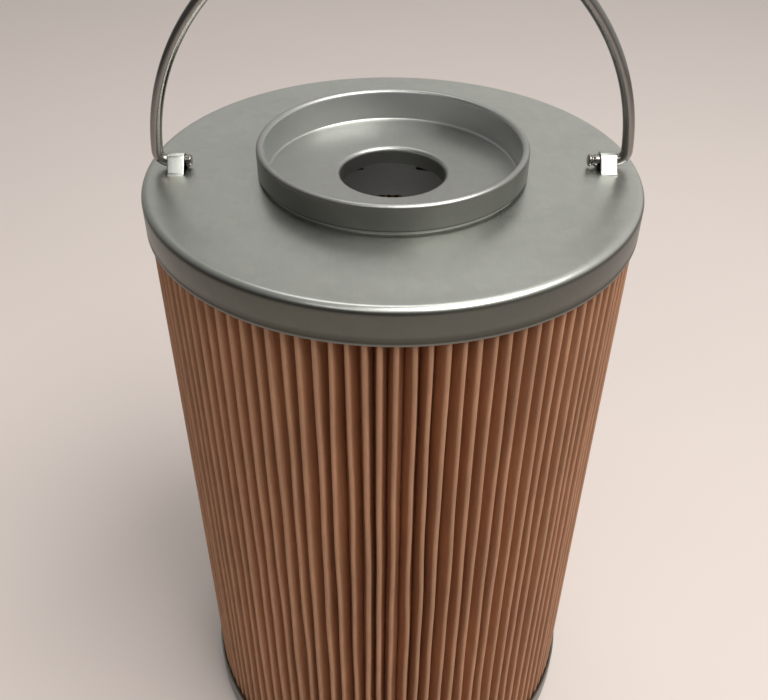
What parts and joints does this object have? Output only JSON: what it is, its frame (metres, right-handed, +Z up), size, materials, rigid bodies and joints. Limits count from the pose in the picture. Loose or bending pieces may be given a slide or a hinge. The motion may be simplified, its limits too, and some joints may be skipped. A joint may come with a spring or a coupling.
{
  "type": "pleated filter element",
  "caption": "Cylindrical pleated filter element with sheet-steel end caps, a flanged cup on top and a swinging wire bail handle.",
  "frame": {"origin": "centre of the lower face of the bottom cap, on the element's axis", "axes": "+Z up along the element's axis; X along the bail's pivot axis; Y across it"},
  "size_m": [0.15, 0.15, 0.3066],
  "materials": {
    "zinc_plate": "satin zinc-plated sheet steel",
    "zinc_wire": "bright zinc-plated wire",
    "filter_paper": "resin-treated kraft paper",
    "adhesive": "set adhesive",
    "black_rubber": "matte moulded rubber"
  },
  "bodies": {
    "element": {"top_cap": "zinc_plate", "top_cup": "zinc_plate", "bottom_cap": "zinc_plate", "center_tube": "zinc_plate", "filter_media": "filter_paper", "top_bond": "adhesive", "bottom_bond": "adhesive", "outlet_seal": "black_rubber"},
    "bail": {"bail_handle": "zinc_wire"}
  },
  "joints": [
    {"name": "bail_hinge", "type": "hinge", "parent": "element", "child": "bail", "pos_m": [0, 0, 0.2343], "axis": [1, 0, 0], "range_deg": [-90, 90]}
  ]
}
